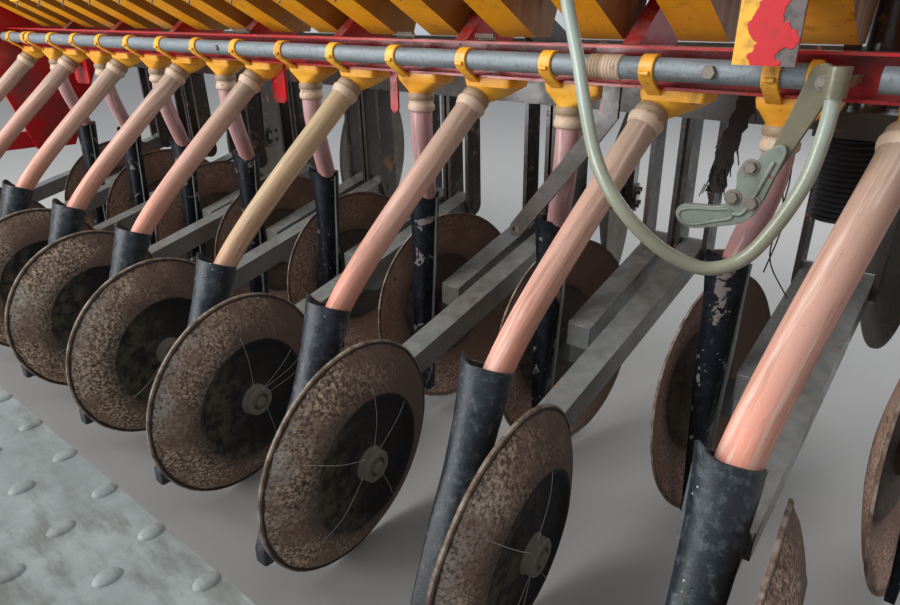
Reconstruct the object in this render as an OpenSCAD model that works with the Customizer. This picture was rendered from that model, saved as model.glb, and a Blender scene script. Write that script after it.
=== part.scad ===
// Coulter bank of a seed drill: two ranks of single disc coulters under one carrying beam,
// with the feed rail, funnels, seed tubes and boots of each row, and a row of soil discs ahead.
// +X runs along the beam, +Y forward in the direction of travel, +Z up. The origin is the
// middle of the top face of the beam's centre pad, which bolts up to the drill's frame.

/* [Rows] */
// Spacing between neighbouring rows
row_pitch = 125; // [120:1:150]
// Number of rows, rear rank and front rank together
rows = 18; // [6:2:18]

/* [Beam] */
// Width and height of the carrying beam
beam_w = 80; // [70:1:90]
// Wall of the beams
beam_wall = 6; // [4:0.5:8]
// Length of the beams beyond the outer rows
beam_over = 70; // [70:0.5:90]
// Thickness of the mounting pads
pad_t = 15; // [10:1:20]
// Length of a pad along the beam
pad_l = 240; // [230:1:280]
// Width of a pad across the beam
pad_w = 150; // [145:1:180]
// Spacing of the pad's bolt holes along the beam
pad_bolt_x = 180; // [150:1:200]
// Spacing of the pad's bolt holes across the beam
pad_bolt_y = 112; // [108:1:120]
// Radius of the pad's bolt holes
pad_bolt_r = 9; // [6:0.5:10]
// Distance of the outer pads from the middle
pad_far = 750; // [600:5:850]

/* [Rail] */
// Rail axis behind the middle of the beam
rail_back = 190; // [180:1:200]
// Rail axis below the top of the pads
rail_down = 200; // [195:1:215]
// Diameter of the rail
rail_d = 24; // [20:0.5:26]
// Thickness of a ring clamp round the rail
ring_t = 4.7; // [3:0.1:5]
// Width of a ring clamp along the rail
ring_w = 17; // [12:0.5:20]
// Depth of the channel behind the rail
channel_d = 32; // [30:1:40]
// Height of the channel
channel_h = 44; // [44:1:50]
// Thickness of the channel's sheet
channel_t = 3; // [2:0.5:4]
// Free space between a part and what it is fitted to
fit_gap = 0.3; // [0.2:0.1:0.6]

/* [Discs] */
// Radius of a rear coulter disc
rear_disc_r = 160; // [140:1:165]
// Radius of a front coulter disc
front_disc_r = 178; // [150:1:180]
// Thickness of a disc
disc_t = 4; // [3:0.5:5]
// Depth of a coulter disc's dish
dish_depth = 28; // [24:1:32]
// Radius of the flat middle of a coulter disc
dish_flat_r = 94; // [70:1:100]
// Radius of a coulter disc's hub boss
hub_r = 22; // [20:0.5:28]
// Radius of a stub axle
axle_r = 10; // [8:0.5:12]
// Turn of a rear disc about the vertical
rear_skew = 5; // [2:0.5:6]
// Lean of a rear disc
rear_tilt = 2; // [0:0.5:3]
// Turn of a front disc about the vertical
front_skew = -8.5; // [-9:0.5:-6]
// Lean of a front disc
front_tilt = -7; // [-8:0.5:-5]
// Radius of a soil disc
soil_r = 185; // [150:1:190]

/* [Coulters] */
// Width and height of an arm's square tube
arm_w = 38; // [34:1:40]
// Wall of an arm's tube
arm_wall = 4; // [3:0.5:5]
// Outside radius of a seed tube
tube_r = 19.5; // [16:0.5:20]
// Outside radius of a boot's mouth
boot_r = 27; // [26:0.5:28]
// Wall of a boot
boot_wall = 3.5; // [2:0.5:4]

/* [Footboard] */
// Depth of the footboard from front to back
board_d = 300; // [250:5:350]
// Thickness of the footboard's plate
board_t = 5; // [4:0.5:8]
// Height of the footboard's folded edges
board_fold = 34; // [25:1:40]

/* [Hidden] */
$fn = 48;
round_fn = 96;
hull_fn = 24;

beam_half = (rows - 1) * row_pitch / 2 + beam_over;
beam_low = rail_down - pad_t - beam_w;
beam_rear = rail_back - beam_w / 2;
beam_front = rail_back + beam_w / 2;
rail_r = rail_d / 2;
ring_r = rail_r + fit_gap + ring_t;
web_y = rail_back - 144;
rim_y = web_y - channel_d;
running = 0.05;

// Everything below is placed from the rail's axis: x from the middle row, y forward, z up.
function row_x(k) = (k - (rows - 1) / 2) * row_pitch;
rear_rows = [for (k = [0:2:rows - 1]) row_x(k)];
front_rows = [for (k = [1:2:rows - 1]) row_x(k)];
// Row of the lever and the bellows, near the left end.
lever_row = row_x(rows - 3);

// Rear coulters: disc centre, arm end and pivot, boot mouth and foot, all as [x, y, z]
// from the row's own point on the rail.
rear_disc = [-1, -232, -486];
rear_arm_x = -50;
rear_arm_end = [-120, -443];
rear_mouth = [-46, -217, -290];
rear_foot = [-34, -348, -590];
rear_foot_size = [22, 44];
rear_plate_x = -48;
rear_plate_t = 11;
// The plate's tail, where the boot's tab meets it.
rear_tail_y = -262;
rear_tab_l = 50;
rear_tab_h = 38;

// Front coulters, the same places.
front_disc = [-46, 188, -457];
front_arm_x = 15;
front_arm_end = [105, -393];
front_mouth = [-38, 100, -220];
front_foot = [-29, 86, -588];
front_foot_size = [12, 42];
front_plate_t = 12;
front_tab_x = -30;
front_tab_w = 20;
front_tab_y = 118;
front_tab_z = -446;
front_tab_size = 34;

// Fixed collar round a coulter's axle, beside the disc's hub.
axle_collar_r = 18;
hub_gap = 5;

// Pivot line of all arms and the beam that carries it.
pivot_y = 385;
pivot_z = -317;
pivot_pin_r = 10;
pivot_eye_r = 22;
cheek_t = 8;
cheek_seat = 20;
pin_end = 1.5;
coulter_beam_y = 360;
coulter_beam_z = -50;
coulter_beam_w = 80;
hanger_t = 12;
hanger_x = [-900, -400, 350, 900];

// Soil discs ahead of the coulters, at a few of the rear rank's rows.
soil_rows = [for (k = [2, 6, 12, 16]) row_x(k)];
soil_y = 600;
soil_z = -300;
soil_dx = -35;
soil_skew = 17;
soil_dish = 34;
soil_disc_t = 6;
soil_flat_r = 60;
soil_hub_r = 30;
soil_axle_r = 14;
soil_beam_w = 70;
soil_beam_y = 605;
soil_beam_z = -25;
shank_w = 70;
shank_t = 14;
shank_x = 8;
shank_eye_r = 40;
flange_r = 30;
flange_t = 8;
flange_bolt_at = 20;
flange_bolt_r = 5;

// Funnels under the channel.
funnel_top_x0 = -20;
funnel_top_w = 80;
funnel_top_y0 = 20;
funnel_top_d = 48;
funnel_rim = 4;
funnel_z = -channel_h / 2;
straight_out = [7, 44, -50];
angled_out = [-5, 34, -46];
spout_r = 19;
collar_l = 28;
collar_r = 22;
collar_rib = 2.5;
collar_rib_w = 8;
// Share of a seed tube's reach over which it leaves its collar and enters its boot straight.
tube_bend = 0.36;
tube_straight = 8;
tube_rings = 9;
tube_depth = 22;
tube_sides = 12;

// Metering housings and the tray that they hang from.
tray_z = beam_low;
tray_t = 6;
tray_y0 = -40;
tray_lip = 60;
housing_x0 = -4;
housing_w = 56;
housing_y0 = -30;
housing_y1 = 135;
// Tab on the tray's rear edge beside the lever: [start along x, width, lower edge].
tab = [-29, 55, 10];

// Posts between the channel and the beam.
post_x = 66;
post_t = 20;

// Flat bar with a hole that hangs from the channel: [x, z] of its hole, bend and top.
guide_y = 20;
guide_t = 5;
guide_r = 11;
guide_hole_r = 5;
guide_low = [-301, -218];
guide_bend = [-199, -84];
guide_top = [-178, -58];

// Footboard
board_y = -574;
board_z = -250;
bracket_t = 12;
bracket_h = 46;
end_t = 12;

// Route of the clear hose, from its upper fitting to the lower one.
hose_r = 7;
hose_path = [[612, -58, 98], [612, -58, 72], [638, -70, 10], [662, -90, -36], [695, -118, -83],
             [728, -128, -118], [758, -120, -147], [783, -106, -165], [809, -92, -173],
             [836, -80, -160], [855, -68, -128], [869, -54, -88], [873, -42, -54],
             [874, -36, -28], [874, -36, -14]];

// Left end: the side beam, its posts, and the bellows under it, from the lever's row.
side_x = 20;
side_y = 120;
side_z = -70;
side_d = 62;
side_h = 28;
side_post = [29, 138, 16, 10];
side_ram_r = 19;
side_ram_x = 65;
side_ram_y = 162;
side_ram_l = 120;
bellows_x = 56;
bellows_y = 150;
bellows_n = 12;
bellows_pitch = 8;
bellows_r = [22, 28];

// Places children from the rail's axis.
module at_rail() { translate([0, -rail_back, -rail_down]) children(); }

// Places children at each row of a list.
module at_rows(list) { for (x = list) translate([x, 0, 0]) children(); }

// Outline of a lug: a round end of radius r at one point, widening to a flat seat between
// the points a and b.
module lug(end, r, a, b) {
    translate(end) circle(r = r);
    side = [-(a + b)[1] / 2 + end[1], (a + b)[0] / 2 - end[0]];
    off = side / norm(side) * r;
    polygon([end - off, a, b, end + off]);
}

// Extrudes an outline drawn in y and z along x, from x0 over a width w.
module yz(x0, w) { translate([x0, 0, 0]) rotate([90, 0, 90]) linear_extrude(w) children(); }

// Round bar along x.
module bar_x(x0, l, r) { translate([x0, 0, 0]) rotate([0, 90, 0]) cylinder(h = l, r = r); }

// Square tube along x with an open bore.
module beam_tube(x0, l, w, wall) {
    difference() {
        translate([x0, -w / 2, -w / 2]) cube([l, w, w]);
        translate([x0 - 1, wall - w / 2, wall - w / 2])
            cube([l + 2, w - 2 * wall, w - 2 * wall]);
    }
}

// Point on the line from a to b at a distance s from a.
function along(a, b, s) = a + (b - a) * s / norm(b - a);

module frame_beam() {
    color("firebrick") {
        translate([0, 0, -pad_t - beam_w / 2])
            beam_tube(-beam_half, 2 * beam_half, beam_w, beam_wall);
        for (x = [-pad_far, 0, pad_far]) translate([x, 0, 0]) mount_pad();
    }
}

module mount_pad() {
    difference() {
        translate([-pad_l / 2, -pad_w / 2, -pad_t]) cube([pad_l, pad_w, pad_t]);
        for (sx = [-1, 1], sy = [-1, 1])
            translate([sx * pad_bolt_x / 2, sy * pad_bolt_y / 2, -pad_t - 1])
                cylinder(h = pad_t + 2, r = pad_bolt_r);
    }
}

module end_plates() {
    rear = tray_y0 - 22;
    step = beam_rear - 10;
    top = beam_low + beam_w + 7;
    low = board_z - bracket_h - 4;
    color("crimson") at_rail()
        for (x0 = [-beam_half - end_t, beam_half]) yz(x0, end_t)
            polygon([[rear, -40], [rear, tray_z + 13], [step, tray_z + 23], [step, top],
                     [beam_front + 10, top], [beam_front + 10, -60], [125, low], [20, low]]);
}

module frame_posts() {
    seat = channel_h / 2 - 2;
    color("firebrick") at_rail()
        for (x = front_rows) if (x < lever_row) yz(x + post_x, post_t)
            polygon([[web_y, -seat], [web_y, seat], [beam_rear + 5, beam_low],
                     [beam_front - 5, beam_low], [beam_front - 5, beam_low - 45],
                     [web_y + 49, -seat]]);
}

module rail_channel() {
    color("firebrick") at_rail() difference() {
        yz(-beam_half, 2 * beam_half) translate([rim_y, -channel_h / 2])
            square([channel_d, channel_h]);
        yz(-beam_half - 1, 2 * beam_half + 2) translate([rim_y - 1, channel_t - channel_h / 2])
            square([channel_d + 1 - channel_t, channel_h - 2 * channel_t]);
    }
}

// The rail's two lengths: [start, end].
rail_lengths = [[-beam_half + 18, lever_row + 48], [lever_row + 90, beam_half - 8]];

module rail() {
    color("slategray") at_rail()
        for (s = rail_lengths) bar_x(s[0], s[1] - s[0], rail_r);
}

// One ring clamp with its foot on the channel's web.
module ring_clamp(w) {
    difference() {
        union() {
            bar_x(-w / 2, w, ring_r);
            translate([-w / 3, 0, -8]) cube([w * 2 / 3, web_y - channel_t, 16]);
        }
        bar_x(-w / 2 - 1, w + 2, rail_r + fit_gap);
    }
}

module ring_clamps() {
    color("gold") at_rail() {
        at_rows([for (k = [0:rows - 1]) row_x(k)]) ring_clamp(ring_w);
        translate([rail_lengths[0][1] - 12, 0, 0]) ring_clamp(10);
        translate([row_x(1) - 30, 0, 0]) ring_clamp(12);
    }
}

module meter_tray() {
    color("firebrick") at_rail() {
        yz(-beam_half, 2 * beam_half) polygon([
            [tray_y0, tray_z], [beam_rear, tray_z],
            [beam_rear, tray_z + tray_lip], [beam_rear - tray_t, tray_z + tray_lip],
            [beam_rear - tray_t, tray_z + tray_t], [tray_y0, tray_z + tray_t]]);
        translate([lever_row + tab[0], tray_y0, tab[2]]) cube([tab[1], 4, tray_z + 1 - tab[2]]);
    }
}

module meter_housings() {
    low = channel_h / 2 + 4;
    color("gold") at_rail() at_rows([for (k = [0:rows - 1]) row_x(k)])
        yz(housing_x0, housing_w)
            polygon([[80, low], [118, low], [housing_y1, tray_z - 35], [housing_y1, tray_z],
                     [housing_y0, tray_z], [housing_y0, tray_z - 21]]);
}

// Top rim of a funnel, under the channel's lower flange.
module funnel_rim_block() {
    translate([funnel_top_x0, funnel_top_y0, funnel_z - funnel_rim])
        cube([funnel_top_w, funnel_top_d, funnel_rim]);
}

module funnel_straight() {
    hull() {
        funnel_rim_block();
        translate(straight_out) cylinder(h = 2, r = spout_r, $fn = hull_fn);
    }
}

// Unit direction of an angled spout, down and to the rear.
angled_dir = (rear_mouth - angled_out) / norm(rear_mouth - angled_out);

module funnel_angled() {
    hull() {
        funnel_rim_block();
        translate(angled_out - 2 * angled_dir) rotate(turn_to(angled_dir))
            cylinder(h = 2, r = spout_r, $fn = hull_fn);
    }
}

// Rotation that turns +z to a direction d.
function turn_to(d) = [0, acos(d[2] / norm(d)), atan2(d[1], d[0])];

module funnels_straight() { color("gold") at_rail() at_rows(front_rows) funnel_straight(); }

module funnels_angled() { color("gold") at_rail() at_rows(rear_rows) funnel_angled(); }

// Ribbed cuff from a funnel's spout to its seed tube.
module collar(place, dir) {
    translate(place) rotate(turn_to(dir)) {
        cylinder(h = collar_l, r = collar_r);
        for (z = [3, collar_l - collar_rib_w - 1]) translate([0, 0, z])
            cylinder(h = collar_rib_w, r = collar_r + collar_rib);
    }
}

module hose_collars() {
    color("wheat") at_rail() {
        at_rows(rear_rows) collar(angled_out, angled_dir);
        at_rows(front_rows) collar(straight_out, [0, 0, -1]);
    }
}

// Seed tube from its collar, along dir, in a smooth bend into its boot.
module seed_tube(start, dir, mouth, foot) {
    from = start + tube_straight * dir;
    end = along(mouth, foot, tube_depth);
    bend = norm(end - from) * tube_bend;
    leave = from + bend * dir;
    enter = along(mouth, foot, tube_depth - bend);
    function at(t) = pow(1 - t, 3) * from + 3 * pow(1 - t, 2) * t * leave
        + 3 * (1 - t) * t * t * enter + pow(t, 3) * end;
    swept(concat([start], [for (n = [0:tube_rings - 1]) at(n / (tube_rings - 1))]),
          tube_r, tube_sides);
}

module seed_tubes_rear() {
    color("lightsalmon") at_rail() at_rows(rear_rows)
        seed_tube(angled_out + collar_l * angled_dir, angled_dir, rear_mouth, rear_foot);
}

module seed_tubes_front() {
    color("rosybrown") at_rail() at_rows(front_rows)
        seed_tube(straight_out - [0, 0, collar_l], [0, 0, -1], front_mouth, front_foot);
}

// Boot: a round open mouth that narrows to a flat foot beside the disc.
module boot(mouth, foot, size) {
    axis = foot - mouth;
    difference() {
        hull() {
            translate(mouth) rotate(turn_to(axis)) cylinder(h = 6, r = boot_r, $fn = hull_fn);
            translate(along(mouth, foot, 110)) rotate(turn_to(axis))
                cylinder(h = 6, r = boot_r - 4, $fn = hull_fn);
            translate(foot - [size[0] / 2, size[1] / 2, 0]) cube([size[0], size[1], 20]);
        }
        translate(along(mouth, foot, -1)) rotate(turn_to(axis))
            cylinder(h = 72, r = boot_r - boot_wall, $fn = hull_fn);
    }
}

module boots_rear() {
    low = rear_disc[2] - 14;
    color("darkslategray") at_rail() at_rows(rear_rows) {
        boot(rear_mouth, rear_foot, rear_foot_size);
        yz(rear_plate_x, rear_plate_t) polygon([
            [rear_tail_y - rear_tab_l, low], [rear_tail_y, low],
            [rear_tail_y, low + rear_tab_h], [rear_tail_y - rear_tab_l + 12, low + rear_tab_h]]);
    }
}

module boots_front() {
    color("darkslategray") at_rail() at_rows(front_rows) {
        boot(front_mouth, front_foot, front_foot_size);
        translate([front_tab_x, front_tab_y - front_tab_size, front_tab_z])
            cube([front_tab_w, front_tab_size, front_tab_size]);
    }
}

// Square tube of an arm, from its lower end up to the pivot eye.
module arm(x, low) {
    h = arm_w / 2;
    hi = h - arm_wall;
    difference() {
        union() {
            yz(x - h, arm_w) polygon([[low[0], low[1] - h], [pivot_y, pivot_z - h],
                                      [pivot_y, pivot_z + h], [low[0], low[1] + h]]);
            translate([0, pivot_y, pivot_z]) bar_x(x - h, arm_w, pivot_eye_r);
        }
        yz(x - hi, 2 * hi) polygon([[low[0] - 1, low[1] - hi],
                                    [pivot_y - pivot_eye_r - 6, pivot_z - hi - 6],
                                    [pivot_y - pivot_eye_r - 6, pivot_z + hi - 6],
                                    [low[0] - 1, low[1] + hi]]);
        translate([0, pivot_y, pivot_z]) bar_x(x - h - 1, arm_w + 2, pivot_pin_r + fit_gap);
    }
}

module arms_rear() {
    color("dimgray") at_rail() at_rows(rear_rows) arm(rear_arm_x, rear_arm_end);
}

module arms_front() {
    color("dimgray") at_rail() at_rows(front_rows) arm(front_arm_x, front_arm_end);
}

// Places children in a disc's own frame, its axis along +x.
module at_disc(place, skew, tilt) { translate(place) rotate([0, tilt, skew]) children(); }

module disc_carriers_rear() {
    h = arm_w / 2;
    y = rear_disc[1];
    z = rear_disc[2];
    tail = rear_tail_y;
    reach = rear_disc[0] - rear_plate_x - rear_plate_t / 2;
    color("dimgray") at_rail() at_rows(rear_rows) {
        yz(rear_plate_x, rear_plate_t) {
            lug([y, z], 22, [rear_arm_end[0], rear_arm_end[1] - h],
                [rear_arm_end[0], rear_arm_end[1] + h]);
            polygon([[tail, z - 10], [y, z - 22], [y + 20, z + 22], [tail, z + 20]]);
        }
        at_disc(rear_disc, rear_skew, rear_tilt) axle(reach);
    }
}

module disc_carriers_front() {
    y = front_disc[1];
    z = front_disc[2];
    x1 = front_arm_x - arm_w / 2;
    reach = x1 - front_plate_t / 2 - front_disc[0];
    color("dimgray") at_rail() at_rows(front_rows) {
        yz(x1 - front_plate_t, front_plate_t)
            lug([y, z], 22, [front_tab_y, z + 66], [front_tab_y, z + 8]);
        at_disc(front_disc, front_skew, front_tilt) mirror([1, 0, 0]) axle(reach);
    }
}

// Stub axle from a plate behind the disc into the disc's blind bore, with its fixed collar.
module axle(reach) {
    bar_x(-reach, reach + dish_depth - 2, axle_r);
    bar_x(-reach, reach + disc_t - hub_gap, axle_collar_r);
}

// Dished disc about +x: it bulges towards +x, with its bore open to -x inside the hollow.
module coulter_disc(r) {
    d = dish_depth;
    third = (r - dish_flat_r) / 3;
    bore_r = axle_r + running;
    rotate([0, 90, 0]) rotate_extrude($fn = round_fn) polygon([
        [0, d - 1], [bore_r, d - 1], [bore_r, disc_t], [hub_r + 6, disc_t],
        [hub_r + 6, d - disc_t], [dish_flat_r, d - disc_t],
        [dish_flat_r + third, 0.78 * d - disc_t], [dish_flat_r + 2 * third, 0.45 * d - disc_t],
        [r - 1, -disc_t], [r, -disc_t / 2], [r - 1, 0.5],
        [dish_flat_r + 2 * third, 0.45 * d], [dish_flat_r + third, 0.78 * d],
        [dish_flat_r, d], [hub_r + 4, d], [hub_r, d + 4], [hub_r, d + 12], [hub_r - 2, d + 14],
        [13, d + 14], [13, d + 10], [0, d + 10]]);
    translate([d + 9, 0, 0]) rotate([0, 90, 0]) cylinder(h = 7, r = 9, $fn = 6);
}

module disc_rear(n) {
    color("sienna") at_rail() translate([rear_rows[n - 1], 0, 0])
        at_disc(rear_disc, rear_skew, rear_tilt) coulter_disc(rear_disc_r);
}

module disc_front(n) {
    color("sienna") at_rail() translate([front_rows[n - 1], 0, 0])
        at_disc(front_disc, front_skew, front_tilt) mirror([1, 0, 0]) coulter_disc(front_disc_r);
}

module coulter_beam() {
    color("dimgray") at_rail() translate([0, coulter_beam_y, coulter_beam_z])
        beam_tube(-beam_half, 2 * beam_half, coulter_beam_w, beam_wall);
}

// Two cheeks under the beam and the pin of one arm.
module arm_pivot(x) {
    h = arm_w / 2 + fit_gap;
    top = coulter_beam_z - coulter_beam_w / 2;
    for (x0 = [x - h - cheek_t, x + h]) yz(x0, cheek_t)
        lug([pivot_y, pivot_z], pivot_eye_r, [coulter_beam_y + 15 + cheek_seat, top],
            [coulter_beam_y + 15 - cheek_seat, top]);
    translate([0, pivot_y, pivot_z])
        bar_x(x - h - cheek_t - pin_end, 2 * (h + cheek_t + pin_end), pivot_pin_r);
}

module arm_pivots() {
    color("dimgray") at_rail() {
        at_rows(rear_rows) arm_pivot(rear_arm_x);
        at_rows(front_rows) arm_pivot(front_arm_x);
    }
}

module beam_hangers() {
    top = coulter_beam_z + coulter_beam_w / 2;
    front = soil_beam_y - soil_beam_w / 2;
    low = soil_beam_z - soil_beam_w / 2;
    half = coulter_beam_w / 2;
    color("dimgray") at_rail() for (x = hanger_x) yz(x - hanger_t / 2, hanger_t)
        polygon([[beam_rear + 5, beam_low], [beam_front - 4, beam_low],
                 [coulter_beam_y + 80, soil_beam_z + 30], [front, soil_beam_z + 30], [front, low],
                 [coulter_beam_y + half, top], [coulter_beam_y - half, top],
                 [beam_rear + 90, beam_low - 60]]);
}

module soil_beam() {
    color("dimgray") at_rail() translate([0, soil_beam_y, soil_beam_z])
        beam_tube(-beam_half, 2 * beam_half, soil_beam_w, beam_wall);
}

// Places children in the frame of soil disc n, its axis along +x.
module at_soil(x) { translate([x + soil_dx, soil_y, soil_z]) rotate([0, 0, soil_skew]) children(); }

module soil_shanks() {
    top = soil_beam_z - soil_beam_w / 2 - soil_z;
    face = shank_x + shank_t;
    color("dimgray") at_rail() at_rows(soil_rows) at_soil(0) {
        yz(shank_x, shank_t) lug([0, 0], shank_eye_r, [shank_w / 2, top], [-shank_w / 2, top]);
        bar_x(-soil_dish - 1, soil_dish + 2 + shank_x, soil_axle_r);
        bar_x(face - 1, flange_t + 1, flange_r);
        for (a = [45:90:359]) rotate([a, 0, 0]) translate([0, flange_bolt_at, 0])
            bar_x(face, flange_t + 6, flange_bolt_r);
    }
}

// Dished soil disc: hollow towards +x, with its hub and bore inside the hollow.
module soil_disc(n) {
    a = -soil_dish;
    t = soil_disc_t;
    color("rosybrown") at_rail() translate([soil_rows[n - 1], 0, 0]) at_soil(0)
        rotate([0, 90, 0]) rotate_extrude($fn = round_fn) polygon([
            [0, a - t], [soil_flat_r, a - t], [soil_r, -t], [soil_r, -1.5], [soil_r - 2, 0],
            [soil_flat_r, a], [soil_hub_r, a], [soil_hub_r, 0], [soil_axle_r + running, 0],
            [soil_axle_r + running, a - 2], [0, a - 2]]);
}

module tread_board() {
    color("silver") at_rail() yz(-beam_half - end_t, 2 * (beam_half + end_t))
        polygon([[board_y - board_d, board_z], [board_y, board_z], [board_y, board_z - board_fold],
                 [board_y - board_t, board_z - board_fold], [board_y - board_t, board_z - board_t],
                 [board_y - board_d + board_t, board_z - board_t],
                 [board_y - board_d + board_t, board_z - board_fold],
                 [board_y - board_d, board_z - board_fold]]);
}

module tread_brackets() {
    x = beam_half + end_t;
    color("firebrick") at_rail() for (x0 = [-x - bracket_t, x]) yz(x0, bracket_t)
        polygon([[board_y - board_d, board_z], [30, board_z], [80, -150], [130, -150],
                 [130, board_z - bracket_h], [board_y - board_d, board_z - bracket_h]]);
}

// Extrudes an outline drawn in x and z to the rear, from y0 over a width w.
module xz(y0, w) { translate([0, y0, 0]) rotate([90, 0, 0]) linear_extrude(w) children(); }

// Outlines of the lever from its own row on the rail: flat bar and cast foot with a paddle.
lever_bar = [[32, -6], [37, 10], [56, 10], [60, -4], [34, -60], [22, -54]];
lever_cast = [[24, -52], [33, -58], [25, -90], [13, -124], [3, -141], [-48, -157], [-62, -151],
              [-65, -139], [-54, -130], [-17, -124], [-8, -100], [-5, -76]];
lever_bolts = [[2, -81], [-12, -115], [8, -117]];

module rail_lever() {
    y = -ring_r - fit_gap;
    color("darkolivegreen") at_rail() translate([lever_row, 0, 0]) {
        xz(y, 6) polygon(lever_bar);
        xz(y + 2, 10) polygon(lever_cast);
        xz(y - 7, 5) for (p = lever_bolts) translate(p) circle(r = 6, $fn = 6);
    }
}

module guide_bar() {
    run = guide_bend - guide_low;
    side = [-run[1], run[0]] / norm(run) * guide_r;
    y = guide_y + guide_t;
    hang = [0, funnel_z - guide_top[1]];
    nose = run / norm(run) * guide_r;
    color("slategray") at_rail() translate([lever_row, 0, 0]) difference() {
        xz(y, guide_t) polygon([
            guide_low + side, guide_low - 0.8 * nose + 0.6 * side, guide_low - nose,
            guide_low - 0.8 * nose - 0.6 * side, guide_low - side, guide_bend - side,
            guide_top + [guide_r, 0], guide_top + hang + [guide_r, 0],
            guide_top + hang - [guide_r, 0], guide_top - [guide_r, 0], guide_bend + side]);
        translate([guide_low[0], y + 1, guide_low[1]]) rotate([90, 0, 0])
            cylinder(h = guide_t + 2, r = guide_hole_r);
    }
}

// Closed tube swept round a path: one ring of points at each path point.
module swept(path, r, sides) {
    n = len(path);
    function dir(i) = path[min(i + 1, n - 1)] - path[max(i - 1, 0)];
    function unit(v) = v / norm(v);
    points = [for (i = [0:n - 1]) let (d = unit(dir(i)), s = unit(cross(d, [0, 1, 0])),
              t = cross(d, s)) for (j = [0:sides - 1]) let (a = 360 * j / sides)
              path[i] + r * (cos(a) * s + sin(a) * t)];
    faces = concat(
        [[for (j = [0:sides - 1]) j]],
        [[for (j = [sides - 1:-1:0]) (n - 1) * sides + j]],
        [for (i = [0:n - 2], j = [0:sides - 1])
            [i * sides + j, (i + 1) * sides + j, (i + 1) * sides + (j + 1) % sides,
             i * sides + (j + 1) % sides]]);
    polyhedron(points, faces);
}

module clear_hose() { color("palegreen") at_rail() swept(hose_path, hose_r, 10); }

module hose_fittings() {
    last = hose_path[len(hose_path) - 1];
    first = hose_path[0];
    color("slategray") at_rail() {
        translate([first[0] - 12, first[1] - 12, first[2]])
            cube([24, tray_y0 - first[1] + 12, tray_z + tray_t - first[2]]);
        translate(last) cylinder(h = 26, r = 10);
        translate([last[0] + 1, last[1], last[2] + 8]) cube([8, web_y - channel_t - last[1], 8]);
    }
}

module side_beam() {
    x0 = lever_row + side_x;
    top = side_z + side_h;
    color("dimgray") at_rail() {
        translate([x0, side_y, side_z]) cube([beam_half - x0, side_d, side_h]);
        translate([lever_row + side_post[0], side_post[1], top])
            cube([side_post[2], side_post[3], tray_z - top]);
        translate([lever_row + side_ram_x, side_ram_y, top]) cylinder(h = side_ram_l, r = side_ram_r);
    }
}

module bellows() {
    p = bellows_pitch / 2;
    color("black") at_rail() translate([lever_row + bellows_x, bellows_y, side_z])
        mirror([0, 0, 1]) for (n = [0:bellows_n - 1]) translate([0, 0, n * bellows_pitch]) {
            cylinder(h = p, r1 = bellows_r[0], r2 = bellows_r[1], $fn = 32);
            translate([0, 0, p]) cylinder(h = p, r1 = bellows_r[1], r2 = bellows_r[0], $fn = 32);
        }
}

frame_beam();
end_plates();
frame_posts();
rail_channel();
rail();
ring_clamps();
meter_tray();
meter_housings();
funnels_straight();
funnels_angled();
hose_collars();
seed_tubes_rear();
seed_tubes_front();
boots_rear();
boots_front();
arms_rear();
arms_front();
disc_carriers_rear();
disc_carriers_front();
coulter_beam();
arm_pivots();
beam_hangers();
soil_beam();
soil_shanks();
tread_board();
tread_brackets();
rail_lever();
guide_bar();
clear_hose();
hose_fittings();
side_beam();
bellows();
for (n = [1:len(rear_rows)]) disc_rear(n);
for (n = [1:len(front_rows)]) disc_front(n);
for (n = [1:len(soil_rows)]) soil_disc(n);
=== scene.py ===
"""Looks of the seed drill's coulter bank. Lengths are in metres, in the CAD model's frame."""
import random
from collections import namedtuple
from math import ceil, copysign, cos, floor, pi, radians, sin

import bmesh
import bpy
from mathutils import Matrix, Vector, noise


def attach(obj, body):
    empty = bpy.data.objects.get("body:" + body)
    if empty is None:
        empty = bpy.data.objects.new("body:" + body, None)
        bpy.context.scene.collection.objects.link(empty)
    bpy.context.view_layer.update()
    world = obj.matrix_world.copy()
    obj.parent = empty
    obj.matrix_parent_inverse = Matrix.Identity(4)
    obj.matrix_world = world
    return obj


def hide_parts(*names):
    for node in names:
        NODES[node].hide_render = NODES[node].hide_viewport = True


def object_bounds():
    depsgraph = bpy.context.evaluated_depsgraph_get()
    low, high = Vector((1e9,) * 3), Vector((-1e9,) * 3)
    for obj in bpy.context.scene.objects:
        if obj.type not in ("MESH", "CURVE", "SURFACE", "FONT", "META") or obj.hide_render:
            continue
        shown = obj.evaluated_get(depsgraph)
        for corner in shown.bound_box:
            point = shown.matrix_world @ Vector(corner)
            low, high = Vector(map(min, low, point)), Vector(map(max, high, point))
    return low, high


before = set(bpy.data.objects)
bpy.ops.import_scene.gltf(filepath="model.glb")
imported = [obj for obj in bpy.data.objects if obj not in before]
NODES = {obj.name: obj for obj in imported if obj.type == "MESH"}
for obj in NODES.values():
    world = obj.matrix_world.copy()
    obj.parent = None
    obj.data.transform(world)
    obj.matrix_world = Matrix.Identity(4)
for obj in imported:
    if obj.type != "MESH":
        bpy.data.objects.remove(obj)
cad_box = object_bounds()
scene = bpy.context.scene
random.seed(7)

# Places that repeat the CAD model's. Points are given in millimetres from the rail's axis.
MM = 0.001
PITCH = 0.125
ROWS = 18
RAIL_BACK, RAIL_DOWN = 0.19, 0.2


def row_x(k):
    """x of row k, counted from the left end."""
    return (k - (ROWS - 1) / 2) * PITCH


REAR_ROWS = [row_x(k) for k in range(0, ROWS, 2)]
FRONT_ROWS = [row_x(k) for k in range(1, ROWS, 2)]
SOIL_ROWS = [row_x(k) for k in (2, 6, 12, 16)]
TAN_ROW = row_x(10)
LEVER_ROW = row_x(ROWS - 3)


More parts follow.
